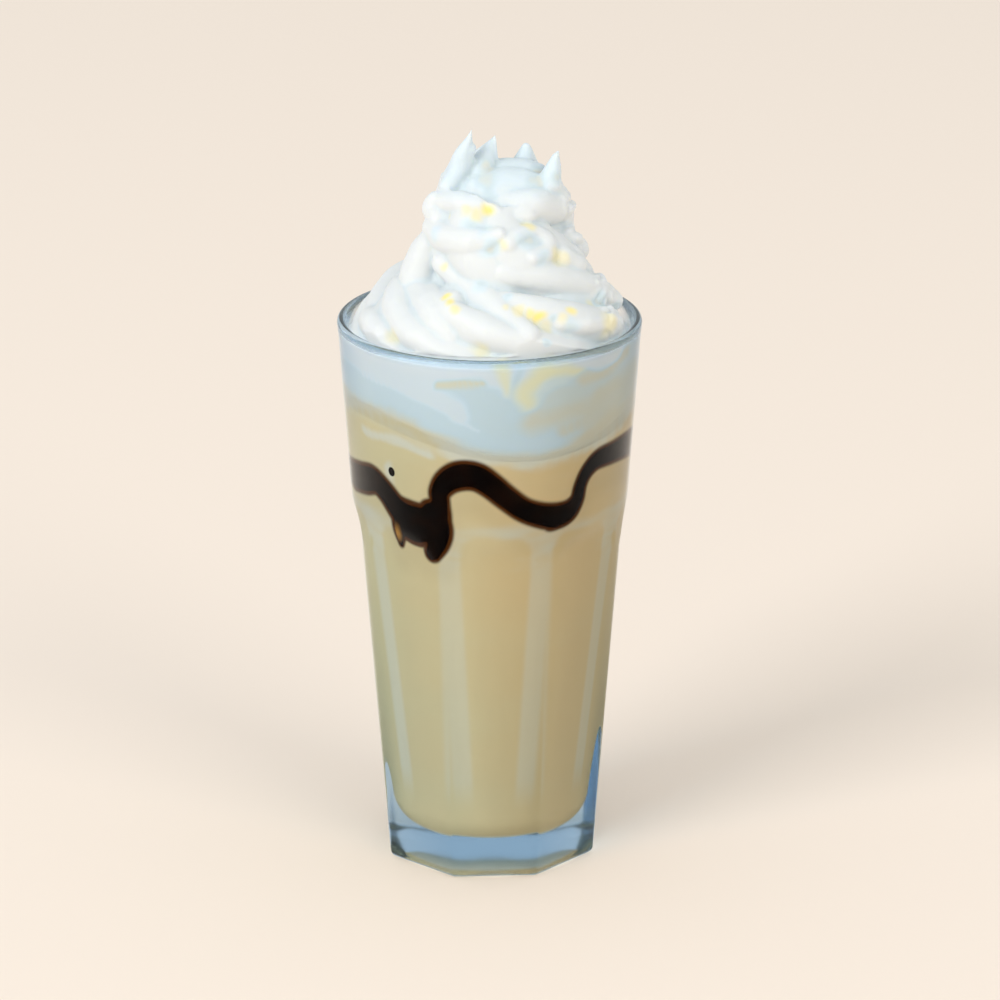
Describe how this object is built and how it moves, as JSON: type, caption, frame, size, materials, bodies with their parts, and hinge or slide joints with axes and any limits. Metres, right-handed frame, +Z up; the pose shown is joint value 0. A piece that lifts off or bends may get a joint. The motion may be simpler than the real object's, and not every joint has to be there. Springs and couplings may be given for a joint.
{
  "type": "iced coffee with whipped cream",
  "caption": "Tall faceted glass tumbler of milky iced coffee, with a wavy ring of chocolate sauce inside its wall and a high ribbed swirl of whipped cream on top.",
  "frame": {"origin": "middle of the glass's foot, on the surface it stands on", "axes": "+Z up along the glass's axis; -Y faces the viewer of the picture, with +X to their right"},
  "size_m": [0.088, 0.088, 0.2178],
  "materials": {
    "pressed_glass": "clear, fire-polished, faintly blue in the thick foot and rim",
    "milky_coffee": "opaque pale-brown liquid",
    "chocolate_sauce": "glossy, nearly black",
    "whipped_cream": "soft white, satin"
  },
  "bodies": {
    "root": {"glass": "pressed_glass", "coffee": "milky_coffee", "chocolate_sauce": "chocolate_sauce", "whipped_cream": "whipped_cream"}
  },
  "joints": []
}
